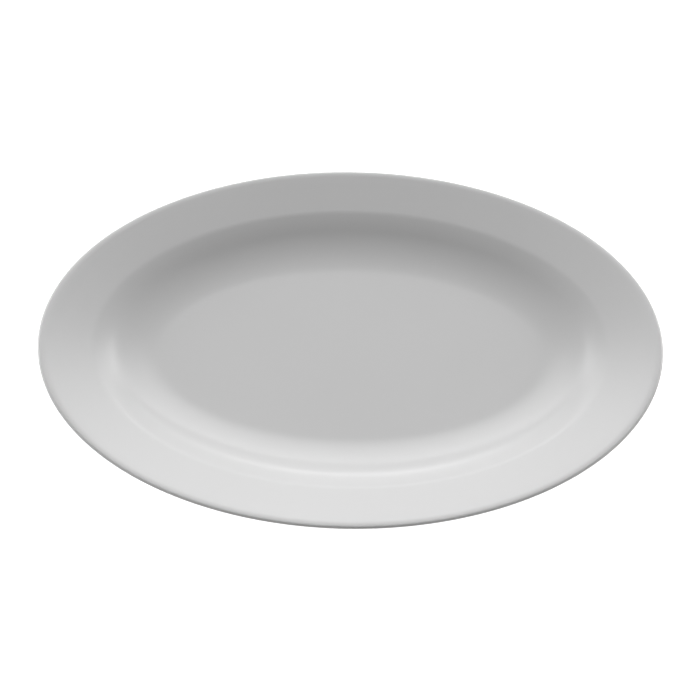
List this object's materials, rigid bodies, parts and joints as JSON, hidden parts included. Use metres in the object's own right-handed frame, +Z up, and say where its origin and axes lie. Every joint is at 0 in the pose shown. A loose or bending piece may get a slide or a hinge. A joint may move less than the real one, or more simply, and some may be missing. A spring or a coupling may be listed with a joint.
{
  "type": "serving platter",
  "caption": "Oval glazed china serving platter with a broad plain rim, a shallow flat-bottomed well and an oval foot ring.",
  "frame": {"origin": "middle of the oval, on the plane that the foot ring stands on", "axes": "+X along the platter's length, +Y across its width, +Z up out of the well"},
  "size_m": [0.36, 0.231, 0.0243],
  "materials": {
    "glaze": "gloss",
    "bisque": "matte"
  },
  "bodies": {
    "root": {"porcelain_body": "bisque", "outer_glaze": "glaze", "recess_glaze": "glaze"}
  },
  "joints": []
}
